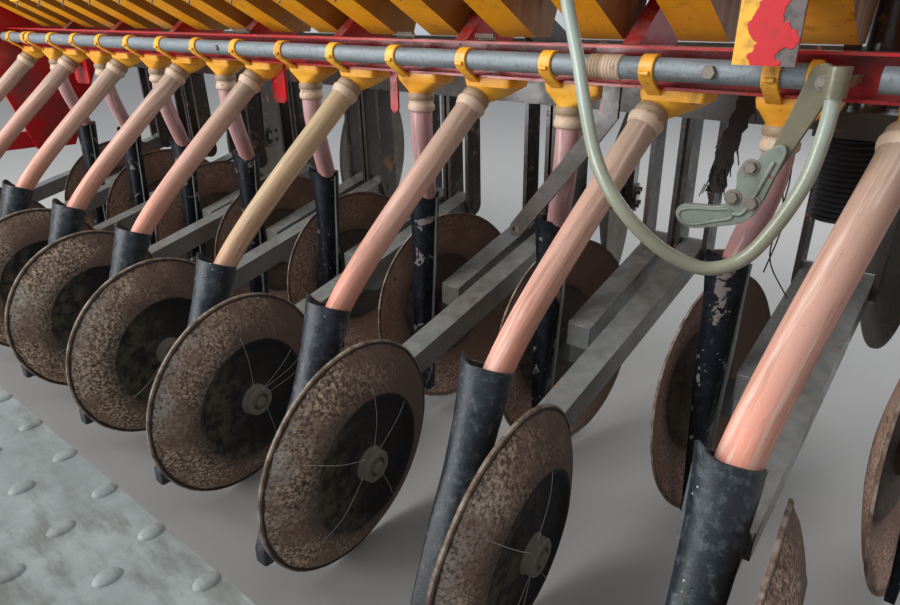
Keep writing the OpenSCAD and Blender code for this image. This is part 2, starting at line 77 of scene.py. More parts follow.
def place(x, y, z, row=0):
    """A point in millimetres from the rail's axis at a row's x."""
    return Vector((row + x * MM, y * MM - RAIL_BACK, z * MM - RAIL_DOWN))


def moved(x, y, z, row=0):
    return Matrix.Translation(place(x, y, z, row))


def turned(degrees, axis):
    return Matrix.Rotation(radians(degrees), 4, axis)


# Camera: the photograph's place and angle, found from the even row spacing.
PHOTO_W = 900
FOCAL_PX = 660.2
SENSOR_MM = 36
CAMERA_AT = (0.9946, -0.9054, -0.151)
CAMERA_YAW, CAMERA_PITCH, CAMERA_ROLL = 39.18, -23.3, 0.206


def add_object(name, data):
    thing = bpy.data.objects.new(name, data)
    scene.collection.objects.link(thing)
    return thing


def make_camera():
    data = bpy.data.cameras.new("camera")
    data.sensor_width = SENSOR_MM
    data.lens = FOCAL_PX / PHOTO_W * SENSOR_MM
    data.clip_start = 0.01
    camera = add_object("camera", data)
    turn = turned(CAMERA_YAW, "Z") @ turned(90 + CAMERA_PITCH, "X") @ turned(CAMERA_ROLL, "Z")
    camera.matrix_world = Matrix.Translation(CAMERA_AT) @ turn
    scene.camera = camera


make_camera()


LOOKS = {}


class Look:
    """A material whose shader nodes are added one by one: each call gives a node's output."""

    def __init__(self, name, tone=None):
        self.name = name
        self.tone = tone
        self.material = bpy.data.materials.new(name)
        self.material.use_nodes = True
        self.tree = self.material.node_tree
        self.shader = self.tree.nodes["Principled BSDF"]
        coords = self.tree.nodes.new("ShaderNodeTexCoord")
        self.at = coords.outputs["Object"]
        self.uv = coords.outputs["UV"]

    def join(self, value, socket):
        if isinstance(value, bpy.types.NodeSocket):
            self.tree.links.new(value, socket)
        elif isinstance(value, tuple) and len(value) == 3 and socket.type == "RGBA":
            socket.default_value = (*value, 1)
        else:
            socket.default_value = value

    def add(self, kind, inputs, **settings):
        node = self.tree.nodes.new("ShaderNode" + kind)
        for key, value in settings.items():
            setattr(node, key, value)
        for key, value in inputs.items():
            self.join(value, node.inputs[key])
        return node

    def noise(self, scale, detail=5, rough=0.6, at=None, warp=0):
        inputs = {"Vector": at or self.at, "Scale": scale, "Detail": detail,
                  "Roughness": rough, "Distortion": warp}
        return self.add("TexNoise", inputs).outputs["Fac"]

    def cells(self, scale):
        return self.add("TexVoronoi", {"Vector": self.at, "Scale": scale}).outputs["Distance"]

    def step(self, value, low, high):
        """0 below low and 1 above high, smooth between them."""
        inputs = {"Value": value, "From Min": low, "From Max": high}
        return self.add("MapRange", inputs, interpolation_type="SMOOTHSTEP").outputs["Result"]

    def calc(self, operation, a, b=0):
        return self.add("Math", {0: a, 1: b}, operation=operation).outputs[0]

    def times(self, a, b):
        return self.calc("MULTIPLY", a, b)

    def plus(self, a, b):
        return self.calc("ADD", a, b)

    def minus(self, a, b):
        return self.calc("SUBTRACT", a, b)

    def mix(self, share, a, b):
        return self.add("Mix", {0: share, 6: a, 7: b}, data_type="RGBA").outputs[2]

    def over(self, share, tone, strength=None):
        """Lays a tone over what is there."""
        if strength is not None:
            share = self.times(share, strength)
        self.tone = self.mix(share, self.tone, tone)

    def stretch(self, x, y, z, at=None):
        return self.add("VectorMath", {0: at or self.at, 1: (x, y, z)}, operation="MULTIPLY").outputs[0]

    def shift(self, at, by):
        return self.add("VectorMath", {0: at, 1: by}, operation="ADD").outputs[0]

    def axes(self, at):
        return self.add("SeparateXYZ", {"Vector": at}).outputs[:]

    def facing(self, axis, low, high):
        """Share of a face that looks along an axis: 0 is to the right and 2 is up."""
        normal = self.add("NewGeometry", {}).outputs["Normal"]
        return self.step(self.axes(normal)[axis], low, high)

    def own_place(self, spread=40):
        """Places shifted by the object's own random number, so that like pieces differ."""
        by = self.times(self.add("ObjectInfo", {}).outputs["Random"], spread)
        return self.shift(self.at, self.add("CombineXYZ", {0: by, 1: by, 2: by}).outputs[0])

    def finish(self, roughness, metallic=0, bump=None, depth=0.0005, **more):
        """Joins the tone and the rest to the shader."""
        self.join(self.tone, self.shader.inputs["Base Color"])
        self.join(roughness, self.shader.inputs["Roughness"])
        self.join(metallic, self.shader.inputs["Metallic"])
        for key, value in more.items():
            self.join(value, self.shader.inputs[key.replace("_", " ")])
        if bump is not None:
            relief = self.add("Bump", {"Height": bump, "Distance": depth, "Strength": 1})
            self.join(relief.outputs["Normal"], self.shader.inputs["Normal"])
        LOOKS[self.name] = self.material


# Tones are linear colours, noise scales are per metre, relief is in metres.
RUST = (0.17, 0.07, 0.036)
RUST_BRIGHT = (0.34, 0.12, 0.045)
DUST_AND_SKY_LIGHT = (0.36, 0.33, 0.28)


def worn_paint(name, color, dirt, chips, dust_and_light, scale=9):
    """Dirty paint, chipped to rust, lighter on what looks up: dust and painted sky light."""
    look = Look(name)
    clouds = look.noise(scale, 7, 0.7)
    fine = look.noise(scale * 9, 4)
    look.tone = look.mix(look.step(clouds, 0.42, 0.72), color, dirt)
    flakes = look.noise(scale * 3.3, 8, 0.72, warp=0.4)
    chipped = look.step(flakes, chips, chips + 0.03)
    look.over(chipped, look.mix(fine, RUST, RUST_BRIGHT))
    # Dust with painted light: faces that look up are lighter, as if lit by the sky.
    top_dust_and_light = look.times(look.facing(2, 0.3, 0.9), look.times(look.step(fine, 0.3, 0.75), dust_and_light))
    look.over(top_dust_and_light, DUST_AND_SKY_LIGHT)
    height = look.plus(look.times(chipped, -0.6), look.times(fine, 0.4))
    look.finish(look.step(clouds, 0.1, 1.3), 0, height, 0.0004)


def rail_look():
    """Mottled blue-grey steel, pitted, scratched along it."""
    look = Look("rail_steel")
    clouds = look.noise(60, 6, 0.7, look.stretch(0.25, 1, 1))
    look.tone = look.mix(clouds, (0.085, 0.102, 0.11), (0.32, 0.365, 0.39))
    look.over(look.step(look.noise(210, 3), 0.62, 0.7), (0.12, 0.08, 0.05), 0.7)
    look.over(look.step(look.noise(330, 4, 0.7), 0.5, 0.62), (0.075, 0.084, 0.088), 0.35)
    along = look.stretch(0.12, 1, 1)
    scratches = look.step(look.noise(90, 7, 0.8, along), 0.54, 0.64)
    look.over(scratches, (0.4, 0.43, 0.44), 0.35)
    look.finish(look.step(clouds, -0.5, 1.3), 0.35, clouds, 0.0003)


def yellow_look(name, bright, deep, right_side_shade=0):
    """Streaked yellow plastic; the last argument is the share of painted shade, a dusty brown, on faces
    turned right.
    """
    look = Look(name)
    streaks = look.noise(42, 6, 0.72, look.stretch(1, 1, 0.16))
    clouds = look.noise(13, 6, 0.65)
    specks = look.step(look.noise(170, 3), 0.64, 0.72)
    look.tone = look.mix(look.step(clouds, 0.3, 0.75), bright, deep)
    look.over(look.step(streaks, 0.54, 0.74), (0.19, 0.1, 0.03), 0.75)
    look.over(specks, (0.09, 0.055, 0.025), 0.6)
    # Painted shade with some dust: faces turned right darken to brown.
    brown = look.mix(clouds, (0.1, 0.062, 0.026), (0.21, 0.125, 0.045))
    look.over(look.facing(0, 0.2, 0.8), brown, right_side_shade)
    look.finish(look.step(streaks, -0.1, 1.2), 0, specks, -0.0002)


def cuff_look():
    """Grimy band above and a paler rolled lip below: v runs down the cuff."""
    look = Look("cuff_rubber")
    clouds = look.noise(38, 6, 0.7)
    v = look.axes(look.uv)[1]
    band = look.mix(clouds, (0.36, 0.22, 0.11), (0.24, 0.19, 0.14))
    lip = look.mix(clouds, (0.62, 0.45, 0.32), (0.42, 0.31, 0.22))
    look.tone = look.mix(look.step(v, 0.4, 0.46), band, lip)
    look.over(look.step(look.noise(120, 4), 0.58, 0.72), (0.17, 0.12, 0.085))
    look.finish(0.55, 0, clouds, 0.0003)


def tube_look(name, top, middle, foot, stain_and_shade):
    """Faded translucent tube: v runs down it. One row's tube is tan."""
    look = Look(name)
    v = look.axes(look.uv)[1]
    x = look.axes(look.at)[0]
    tan_row = look.step(look.calc("ABSOLUTE", look.minus(x, TAN_ROW - 0.02)), 0.06, 0.045)
    look.tone = look.mix(look.step(v, 0.05, 0.5), top, middle)
    look.over(look.step(v, 0.45, 0.95), foot)
    fading = look.mix(look.step(v, 0.72, 1), (0.8, 0.8, 0.8), (0.3, 0.3, 0.3))
    look.over(look.times(tan_row, fading), (0.45, 0.33, 0.17))
    along = look.shift(look.stretch(7, 1.1, 1, look.uv), look.stretch(6, 0, 0))
    streaks = look.noise(2.2, 7, 0.68, along)
    look.over(look.step(streaks, 0.5, 0.66), stain_and_shade, 0.6)
    look.over(look.step(look.noise(1.6, 4, at=along), 0.53, 0.66), (0.8, 0.62, 0.52), 0.5)
    # Painted shade: faces turned right darken to the stain's brown, most of all low on the tube.
    shaded_low_side = look.times(look.facing(0, 0.15, 0.95), look.step(v, 0.25, 0.9))
    look.over(shaded_low_side, stain_and_shade, 0.5)
    look.over(look.step(look.noise(240, 3), 0.64, 0.74), (0.13, 0.07, 0.04), 0.3)
    look.finish(look.step(streaks, -0.4, 1.4), 0, streaks, 0.0002,
                Subsurface_Weight=0.12, Subsurface_Radius=(0.02, 0.008, 0.005))


def boot_look(name, low, high_tone, scuff, chips, chip_tone, shine):
    """Black boot, scuffed grey and chipped to a primer tone."""
    look = Look(name)
    clouds = look.noise(17, 6, 0.7)
    fine = look.noise(75, 7, 0.75)
    look.tone = look.mix(clouds, low, high_tone)
    look.over(look.step(fine, 0.5, 0.66), scuff)
    scuffs = look.noise(60, 8, 0.75, look.stretch(1, 1, 0.35))
    look.over(look.step(scuffs, 0.6, 0.72), (0.24, 0.26, 0.28), 0.35)
    v = look.axes(look.uv)[1]
    high = look.times(look.minus(1, look.step(v, 0, 0.55)), 0.09)
    flakes = look.plus(look.noise(34, 7, 0.6, warp=0.6), high)
    chipped = look.step(flakes, chips, chips + 0.018)
    look.over(chipped, chip_tone)
    specks = look.step(look.cells(120), 0.14, 0.1)
    few = look.step(look.noise(23, 2), 0.56, 0.62)
    look.over(look.times(specks, few), (0.38, 0.37, 0.35))
    height = look.minus(look.plus(scuffs, fine), look.times(chipped, 0.8))
    look.finish(look.step(fine, -0.1, 1.3), 0, height, 0.0006, Specular_IOR_Level=shine)


def disc_band(look, tones, at, grain, blots, high):
    """Rust with loose granules and pits, and painted light: a light dusty tone where high, towards the light
    and up.
    """
    loose = look.step(look.noise(9, 3, at=at), 0.38, 0.54)
    granules = look.noise(215, 5, 0.72, at)
    # Painted light: light speckles on the band's lit upper side.
    pale = look.times(look.step(high, 0.75, 1.45), look.step(grain, 0.4, 0.52))
    look.tone = look.mix(look.step(grain, 0.38, 0.62), tones.rust, tones.band)
    look.over(look.times(look.step(granules, 0.5, 0.57), loose), tones.granules)
    look.over(look.times(look.step(granules, 0.46, 0.41), loose), tones.pits)
    look.over(pale, tones.pale, 0.8)
    look.over(look.step(blots, 0.62, 0.7), tones.pits)


def disc_look(name, radius, tones, flat):
    """Rusty disc about its own x: speckled band with painted light and shade, dark middle of grease and
    painted shade, bright worn rim.
    """
    look = Look(name)
    _, y, z = look.axes(look.at)
    at = look.own_place()
    r = look.calc("SQRT", look.plus(look.calc("POWER", y, 2), look.calc("POWER", z, 2)))
    r = look.calc("DIVIDE", r, radius)
    clouds = look.noise(15, 7, 0.68, at)
    blots = look.noise(52, 6, 0.65, at)
    grain = look.noise(230, 6, 0.72, at)
    ragged = look.plus(r, look.times(look.minus(blots, 0.5), 0.05))
    # How far a point lies towards the light, and towards the upper part there.
    toward = look.plus(look.times(y, -1 / radius), look.times(look.minus(clouds, 0.5), 1.6))
    high = look.plus(toward, look.times(z, 0.6 / radius))
    disc_band(look, tones, at, grain, blots, high)
    fall = look.times(look.step(ragged, flat + 0.2, flat), 0.75)
    look.over(fall, tones.shade)
    unlit = look.mix(grain, tones.shade, tones.rust)
    look.tone = look.mix(look.step(toward, -0.6, 0.45), unlit, look.tone)
    # In the flat middle, olive dirt shows where it lies towards the light; elsewhere it is near black, grease
    # with painted shade.
    dirt = look.times(look.step(toward, -0.1, 0.5), look.step(blots, 0.38, 0.6))
    middle = look.mix(dirt, tones.middle, tones.dirt)
    middle = look.mix(look.step(grain, 0.64, 0.72), middle, tones.rust)
    look.over(look.step(ragged, flat + 0.02, flat - 0.01), middle)
    boss = look.mix(grain, (0.07, 0.06, 0.046), (0.26, 0.23, 0.19))
    look.over(look.step(r, 0.155, 0.145), boss)
    look.over(look.step(ragged, 0.955, 0.965), tones.shade)
    edge = look.mix(look.step(blots, 0.35, 0.62), (0.31, 0.245, 0.19), (0.12, 0.07, 0.046))
    look.over(look.step(r, 0.984, 0.99), edge)
    height = look.plus(look.times(grain, 0.8), blots)
    look.finish(look.step(grain, -0.9, 1.2), 0.1, height, 0.001)


# Of these tones, the light dusty one is painted light, shade is painted shade, and middle is grease with
# painted shade.
Tones = namedtuple("Tones", "band rust granules pale pits shade middle dirt")
REAR_TONES = Tones((0.29, 0.195, 0.14), (0.125, 0.07, 0.046), (0.6, 0.46, 0.32), (0.5, 0.48, 0.43),
                   (0.055, 0.032, 0.022), (0.04, 0.026, 0.019), (0.006, 0.005, 0.0045), (0.08, 0.066, 0.04))
FRONT_TONES = Tones((0.38, 0.215, 0.155), (0.21, 0.105, 0.072), (0.5, 0.34, 0.25), (0.42, 0.3, 0.24),
                    (0.085, 0.05, 0.036), (0.13, 0.08, 0.052), (0.06, 0.04, 0.028), (0.11, 0.08, 0.052))


def soil_look():
    """Flat, dusty grey-brown disc with dirt caked on it."""
    look = Look("soil_rust")
    at = look.own_place()
    clouds = look.noise(11, 8, 0.72, at)
    grain = look.noise(150, 5, 0.7, at)
    look.tone = look.mix(look.step(clouds, 0.35, 0.7), (0.105, 0.098, 0.08), (0.055, 0.04, 0.026))
    look.over(look.step(grain, 0.55, 0.7), (0.17, 0.115, 0.075))
    look.finish(0.8, 0, look.plus(clouds, grain), 0.0008)


def tread_look():
    """Weathered grey plate, streaked along it."""
    look = Look("tread_steel")
    clouds = look.noise(10, 7, 0.72)
    streaks = look.noise(26, 6, 0.7, look.stretch(0.35, 1, 1))
    fine = look.noise(260, 4)
    look.tone = look.mix(look.step(clouds, 0.3, 0.7), (0.31, 0.335, 0.315), (0.185, 0.2, 0.19))
    look.over(look.step(streaks, 0.48, 0.66), (0.1, 0.1, 0.085), 0.7)
    look.over(look.step(fine, 0.62, 0.72), (0.2, 0.18, 0.15))
    look.finish(0.62, 0.1, look.plus(clouds, look.times(fine, 0.3)), 0.0005)


def peeled_look():
    """Red paint peeled in blots, to yellow at the left and grey at the right."""
    look = Look("peeled")
    x = look.axes(look.at)[0]
    warped = look.noise(38, 3, 0.5, look.stretch(0.6, 1, 1), warp=0.4)
    share = look.calc("DIVIDE", look.minus(x, LEVER_ROW - 0.029), 0.055)
    share = look.plus(share, look.times(look.minus(warped, 0.5), 1.5))
    fine = look.noise(90, 5)
    yellow = look.mix(look.step(fine, 0.45, 0.7), (0.84, 0.42, 0.03), (0.5, 0.24, 0.02))
    red = look.mix(look.step(fine, 0.5, 0.8), (0.52, 0.002, 0.008), (0.32, 0.01, 0.01))
    grey = look.mix(look.step(fine, 0.4, 0.7), (0.12, 0.1, 0.095), (0.06, 0.045, 0.04))
    look.tone = look.mix(look.step(share, 0.26, 0.29), yellow, red)
    look.over(look.step(share, 0.78, 0.81), grey)
    edges = look.plus(look.step(share, 0.26, 0.29), look.step(share, 0.81, 0.78))
    look.finish(0.5, 0, edges, 0.0006)


def hose_look():
    """Clear hose, milky above and olive where it hangs low."""
    look = Look("hose_clear")
    clouds = look.noise(30, 6, 0.7)
    height = look.step(look.axes(look.at)[2], -RAIL_DOWN - 0.15, -RAIL_DOWN + 0.04)
    olive = look.mix(clouds, (0.22, 0.225, 0.145), (0.34, 0.345, 0.25))
    milky = look.mix(clouds, (0.34, 0.41, 0.34), (0.5, 0.58, 0.51))
    look.tone = look.mix(height, olive, milky)
    look.finish(0.26, 0, clouds, 0.0002, Transmission_Weight=0.25)


def plain_look(name, low, high, roughness=0.5, metallic=0, scale=60):
    """One tone that wanders a little, with fine grain."""
    look = Look(name)
    clouds = look.noise(scale, 6, 0.7)
    look.tone = look.mix(clouds, low, high)
    look.finish(roughness, metallic, clouds, 0.0003)


worn_paint("red_paint", (0.46, 0.012, 0.016), (0.13, 0.035, 0.026), 0.63, 0.45)
worn_paint("arm_steel", (0.15, 0.16, 0.152), (0.08, 0.066, 0.05), 0.62, 0.3, 6)
worn_paint("bar_steel", (0.04, 0.03, 0.023), (0.026, 0.019, 0.015), 0.6, 0.05, 16)
worn_paint("cast_steel", (0.2, 0.225, 0.19), (0.105, 0.115, 0.09), 0.66, 0.25, 30)
worn_paint("beam_steel", (0.055, 0.045, 0.038), (0.03, 0.024, 0.02), 0.6, 0.3)
worn_paint("lever_paint", (0.165, 0.15, 0.095), (0.09, 0.082, 0.055), 0.64, 0.3, 22)
yellow_look("yellow_plastic", (0.92, 0.47, 0.05), (0.74, 0.29, 0.015))
yellow_look("housing_yellow", (0.93, 0.46, 0.01), (0.8, 0.33, 0.006), 0.75)
tube_look("tube_pink", (0.38, 0.265, 0.195), (0.56, 0.31, 0.235), (0.74, 0.28, 0.19), (0.24, 0.12, 0.065))
tube_look("tube_mauve", (0.46, 0.255, 0.25), (0.43, 0.24, 0.245), (0.5, 0.22, 0.18), (0.21, 0.11, 0.095))
boot_look("boot_black", (0.004, 0.006, 0.009), (0.02, 0.029, 0.038), (0.06, 0.074, 0.086),
          0.72, (0.25, 0.24, 0.23), 0.5)
boot_look("boot_chipped", (0.002, 0.003, 0.005), (0.007, 0.01, 0.015), (0.016, 0.021, 0.028),
          0.61, (0.19, 0.16, 0.15), 0.2)
disc_look("disc_rust", 0.16, REAR_TONES, 0.595)
disc_look("disc_front_rust", 0.178, FRONT_TONES, 0.55)
rail_look()
cuff_look()
peeled_look()
soil_look()
tread_look()
hose_look()
plain_look("strap", (0.008, 0.007, 0.007), (0.05, 0.042, 0.036), 0.9, scale=160)
plain_look("bellows_rubber", (0.012, 0.013, 0.015), (0.06, 0.062, 0.066))
plain_look("bolt_steel", (0.1, 0.085, 0.065), (0.3, 0.27, 0.23), 0.5, 0.5, 140)
plain_look("web", (0.55, 0.53, 0.5), (0.7, 0.68, 0.64), 0.7)
plain_look("wire_dark", (0.02, 0.015, 0.015), (0.07, 0.03, 0.03))

# Looks of the CAD nodes that stay in view.
NODE_LOOKS = {
    "red_paint": ["frame_beam", "end_plates", "frame_posts", "rail_channel", "meter_tray", "tread_brackets"],
    "housing_yellow": ["meter_housings"],
    "rail_steel": ["rail"],
    "lever_paint": ["hose_fittings"],
    "bar_steel": ["guide_bar"],
    "arm_steel": ["arms_rear", "arms_front", "disc_carriers_rear", "disc_carriers_front"],
    "beam_steel": ["coulter_beam", "arm_pivots", "beam_hangers", "soil_beam", "soil_shanks", "side_beam"],
    "tread_steel": ["tread_board"],
}

for look_name, node_names in NODE_LOOKS.items():
    for node_name in node_names:
        materials = NODES[node_name].data.materials
        materials.clear()
        materials.append(LOOKS[look_name])


class Form:
    """Points and faces of a mesh, gathered shape by shape."""

    def __init__(self):
        self.points = []
        self.faces = []
        self.uvs = []

    def loft(self, rings, closed=False):
        """Skin over rings, with flat ends unless it closes on itself."""
        m, n, base = len(rings[0]), len(rings), len(self.points)
        faces, uvs = [], []
        for i in range(n if closed else n - 1):
            k = (i + 1) % n
            for j in range(m):
                j2 = (j + 1) % m
                faces.append([i * m + j, i * m + j2, k * m + j2, k * m + j])
                v0, v1 = i / (n - 1), (i + 1) / (n - 1)
                uvs.append([(j / m, v0), ((j + 1) / m, v0), ((j + 1) / m, v1), (j / m, v1)])
        if not closed:
            faces += [list(range(m)), list(range((n - 1) * m, n * m))]
            uvs += [[(0.5, 0)] * m, [(0.5, 1)] * m]
        self.points += [Vector(p) for points in rings for p in points]
        self.faces += [[base + i for i in face] for face in faces]
        self.uvs += uvs

    def turn(self, outline, at=Matrix(), sides=48, closed=False):
        """Turns an outline of (along, radius), in millimetres, about the local x axis."""
        rings = [[at @ Vector((a * MM, r * MM * cos(t), r * MM * sin(t)))
                  for t in (2 * pi * j / sides for j in range(sides))] for a, r in outline]
        self.loft(rings, closed)

    def box(self, low, high, at=Matrix()):
        corners = [at @ Vector((x, y, z)) for z in (low[2], high[2])
                   for x, y in ((low[0], low[1]), (high[0], low[1]), (high[0], high[1]), (low[0], high[1]))]
        self.loft([corners[:4], corners[4:]])

    def prism(self, outline, depth, at=Matrix()):
        """An outline in the local x and y, drawn out along z."""
        self.loft([[at @ Vector((x, y, z)) for x, y in outline] for z in (0, depth)])

    def rod(self, points, radius, sides=8):
        self.loft(sweep(points, [radius] * len(points), sides))

    def mesh(self, name, look, smooth=35):
        mesh = bpy.data.meshes.new(name)
        mesh.from_pydata(self.points, [], self.faces)
        layer = mesh.uv_layers.new(name="UVMap")
        for polygon, corners in zip(mesh.polygons, self.uvs):
            for loop, uv in zip(polygon.loop_indices, corners):
                layer.data[loop].uv = uv
        shell = bmesh.new()
        shell.from_mesh(mesh)
        bmesh.ops.recalc_face_normals(shell, faces=shell.faces)
        shell.to_mesh(mesh)
        shell.free()
        mesh.shade_smooth()
        mesh.set_sharp_from_angle(angle=radians(smooth))
        mesh.materials.append(LOOKS[look])
        return mesh


def put(name, mesh, body="root", at=Matrix(), nodes=()):
    """Places a mesh as a piece that rides on a body, and may stand for CAD nodes."""
    piece = add_object(name, mesh)
    piece.matrix_world = at
    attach(piece, body)
    for node in nodes:
        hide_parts(node)
    return piece


def put_form(name, form, look, smooth=35, nodes=()):
    """Places a form, made where it belongs, on the part's root."""
    return put(name, form.mesh(name, look, smooth), nodes=nodes)


def soften(piece, width):
    """Small bevel on a piece's edges."""
    bevel = piece.modifiers.new("bevel", "BEVEL")
    bevel.width = width
    bevel.segments = 2
    bevel.limit_method = "ANGLE"
    bevel.angle_limit = radians(40)


EX, EY = Vector((1, 0, 0)), Vector((0, 1, 0))


def ring(centre, u, v, a, b, sides, square=2):
    """Points round a centre: an ellipse at square 2, nearing a rectangle as square grows."""
    points = []
    for j in range(sides):
        t = 2 * pi * j / sides
        c, s = cos(t), sin(t)
        points.append(centre + u * a * copysign(abs(c) ** (2 / square), c)
                      + v * b * copysign(abs(s) ** (2 / square), s))
    return points


def across(direction):
    """Two directions across a run that goes mostly downwards: the first nearly along x."""
    d = direction.normalized()
    u = (EX - d * d[0]).normalized()
    return u, u.cross(d)


def sweep(points, radii, sides):
    """Rings along a path."""
    rings = []
    for i, p in enumerate(points):
        d = (points[min(i + 1, len(points) - 1)] - points[max(i - 1, 0)]).normalized()
        u = d.cross(EY if abs(d[1]) < 0.9 else EX).normalized()
        rings.append(ring(p, u, d.cross(u), radii[i], radii[i], sides))
    return rings


def curve(points, steps):
    """A smooth run from the second point to the last but one."""
    run = []
    for a, b, c, d in zip(points, points[1:], points[2:], points[3:]):
        for k in range(steps):
            t = k / steps
            run.append(0.5 * (2 * b + (c - a) * t + (2 * a - 5 * b + 4 * c - d) * t ** 2
                              + (3 * b - a - 3 * c + d) * t ** 3))
    return run


def smooth_route(points, steps):
    """A smooth run through all the points."""
    ends = [points[0] * 2 - points[1]] + list(points) + [points[-1] * 2 - points[-2]]
    return curve(ends, steps) + [points[-1]]


def rounded(outline, steps=4):
    """Closed outline with its corners smoothed by a curve through them."""
    n = len(outline)
    points = [Vector((*outline[i % n], 0)) for i in range(-1, n + 2)]
    return [(q[0], q[1]) for q in curve(points, steps)]


# The clear hose between its two fittings, along the CAD model's own route.
HOSE_DIAMETER = 0.014
HOSE_ROUTE = [place(*p) for p in (
    (612, -58, 98), (612, -58, 72), (638, -70, 10), (662, -90, -36), (695, -118, -83),
    (728, -128, -118), (758, -120, -147), (783, -106, -165), (809, -92, -173), (836, -80, -160),
    (855, -68, -128), (869, -54, -88), (873, -42, -54), (874, -36, -28), (874, -36, -14))]


def make_hose():
    run = smooth_route(HOSE_ROUTE, 5)
    data = bpy.data.curves.new("hose", "CURVE")
    data.dimensions = "3D"
    data.bevel_depth = HOSE_DIAMETER / 2
    data.bevel_resolution = 5
    data.use_fill_caps = True
    spline = data.splines.new("POLY")
    spline.points.add(len(run) - 1)
    for point, p in zip(spline.points, run):
        point.co = (*p, 1)
    data.materials.append(LOOKS["hose_clear"])
    hose = add_object("hose", data)
    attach(hose, "root")
    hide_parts("clear_hose")


make_hose()

# Discs: place from the row's point on the rail, turn, lean, radius, side that bulges.
REAR_DISC = {"at": (-1, -232, -486), "skew": 5, "tilt": 2, "radius": 160, "out": 1}
FRONT_DISC = {"at": (-46, 188, -457), "skew": -8.5, "tilt": -7, "radius": 178, "out": -1}
SOIL_DISC = {"at": (-35, 600, -300), "skew": 17, "tilt": 0}
# Thickness, depth of the dish, and the radii of the flat middle and of the hub.
DISC_T, DISH, FLAT, HUB = 4, 28, 94, 22
SOIL_T, SOIL_DISH, SOIL_FLAT, SOIL_HUB = 6, 34, 60, 30
SOIL_R, DISC_SIDES = 185, 96
# Offsets along and out: a coulter disc's rim, its step down to the flat middle, its boss.
DISC_RIM = ((-0.6, 0), (0.8, 2), (1.3, 3.4), (0.5, 4), (0.9, 5.6))
DISC_STEP = ((0.3, 3), (-0.4, 0.5), (-3.4, -3), (-6.6, -7), (-7.8, -12))
DISC_BOSS = ((-8, 60), (-7.4, 42), (-6, 32), (-2.5, 26), (1.5, 22.6), (5, 22), (12, 22), (14, 19.8),
             (14, 13.6), (13.2, 13), (10, 12.8), (10, 1))
# Washer and nut on a coulter disc's boss: from, to, radius, sides.
WASHER, NUT = (10, 12, 11.5, 32), (12, 16.5, 8.5, 6)
# Waves in a coulter disc's face: scale and height in metres.
WAVES, WAVE_H = 21, 0.0006


def disc_matrix(disc, row):
    turn = turned(disc["skew"], "Z") @ turned(disc["tilt"], "Y")
    return moved(*disc["at"], row) @ turn


def put_discs(name, node, mesh, disc, rows):
    """A disc for each row, which stands for its CAD node and turns with it."""
    for n, row in enumerate(rows, 1):
        put(f"{name}_{n}", mesh, f"{node}_{n}_body", disc_matrix(disc, row), [f"{node}_{n}"])


def coulter_outline(radius):
    """Half a coulter disc's section as (along, radius), from its back round to its front."""
    def band(share):
        return DISH * (1 - 0.55 * share - 0.45 * share ** 2)

    reach = radius - FLAT
    shares = [k / 8 for k in range(9)]
    hollow = [(DISH - 1, 9.9), (DISC_T, 10.2), (DISC_T, HUB + 4), (DISC_T + 2, HUB + 6),
              (DISH - 12, HUB + 6), (DISH - 12, FLAT - 12), (DISH - 9, FLAT - 5)]
    back = [(band(s) - DISC_T, FLAT + reach * s) for s in shares]
    rim = [(-DISC_T * 0.6, radius)] + [(a, radius - r) for a, r in DISC_RIM]
    front = [(band(s), FLAT + reach * s) for s in reversed(shares[1:7])]
    step = [(DISH + a, FLAT + r) for a, r in DISC_STEP]
    boss = [(DISH + a, r) for a, r in DISC_BOSS]
    return hollow + back + rim + front + step + boss


def coulter_mesh(name, radius, out, look):
    """Dished disc that bulges towards out along x, with its washer and nut."""
    form = Form()
    form.turn([(out * a, r) for a, r in coulter_outline(radius)], sides=DISC_SIDES)
    for near, far, r, sides in (WASHER, NUT):
        low, high = sorted((out * (DISH + near), out * (DISH + far)))
        form.turn([(low, r), (high - 0.6, r), (high, r - 0.8)], sides=sides)
    for i, p in enumerate(form.points):
        wave = noise.noise(p * WAVES + Vector((radius, 0, 0))) * WAVE_H
        form.points[i] = p + Vector((wave, 0, 0))
    return form.mesh(name, look, smooth=28)


def make_coulter_discs():
    for kind, disc, rows, look in (("rear", REAR_DISC, REAR_ROWS, "disc_rust"),
                                   ("front", FRONT_DISC, FRONT_ROWS, "disc_front_rust")):
        mesh = coulter_mesh(f"coulter_disc_{kind}", disc["radius"], disc["out"], look)
        put_discs(f"coulter_{kind}", f"disc_{kind}", mesh, disc, rows)


def soil_outline():
    """Half a soil disc's section as (along, radius)."""
    def dish(share):
        return -SOIL_DISH * (1 - share ** 1.15)

    shares = (0.2, 0.4, 0.6, 0.8)
    reach = SOIL_R - SOIL_FLAT
    hub = [(-SOIL_DISH - 2, 13.9), (0, 14.1), (0, SOIL_HUB - 2), (-2, SOIL_HUB),
           (-SOIL_DISH + 2, SOIL_HUB), (-SOIL_DISH, SOIL_HUB + 3), (-SOIL_DISH, SOIL_FLAT)]
    front = [(dish(s), SOIL_FLAT + (reach - 2) * s) for s in shares]
    rim = [(0, SOIL_R - 3), (-1.5, SOIL_R), (-SOIL_T, SOIL_R)]
    back = [(dish(s) - SOIL_T, SOIL_FLAT + reach * s) for s in reversed(shares)]
    return hub + front + rim + back + [(-SOIL_DISH - SOIL_T, SOIL_FLAT), (-SOIL_DISH - SOIL_T, 1)]


def make_soil_discs():
    form = Form()
    form.turn(soil_outline(), sides=DISC_SIDES)
    mesh = form.mesh("soil_disc", "soil_rust", smooth=28)
    put_discs("soil", "soil_disc", mesh, SOIL_DISC, SOIL_ROWS)


# A cobweb's threads: ends as (along, radius), bulge between them, radius.
THREAD_NEAR, THREAD_FAR, THREAD_BULGE = (0.034, 0.0205), (0.012, 0.138), (0.006, 0.012)
THREADS, THREAD_R = 5, 0.00022


def on_disc(along, radius, angle):
    return Vector((along, radius * cos(angle), radius * sin(angle)))


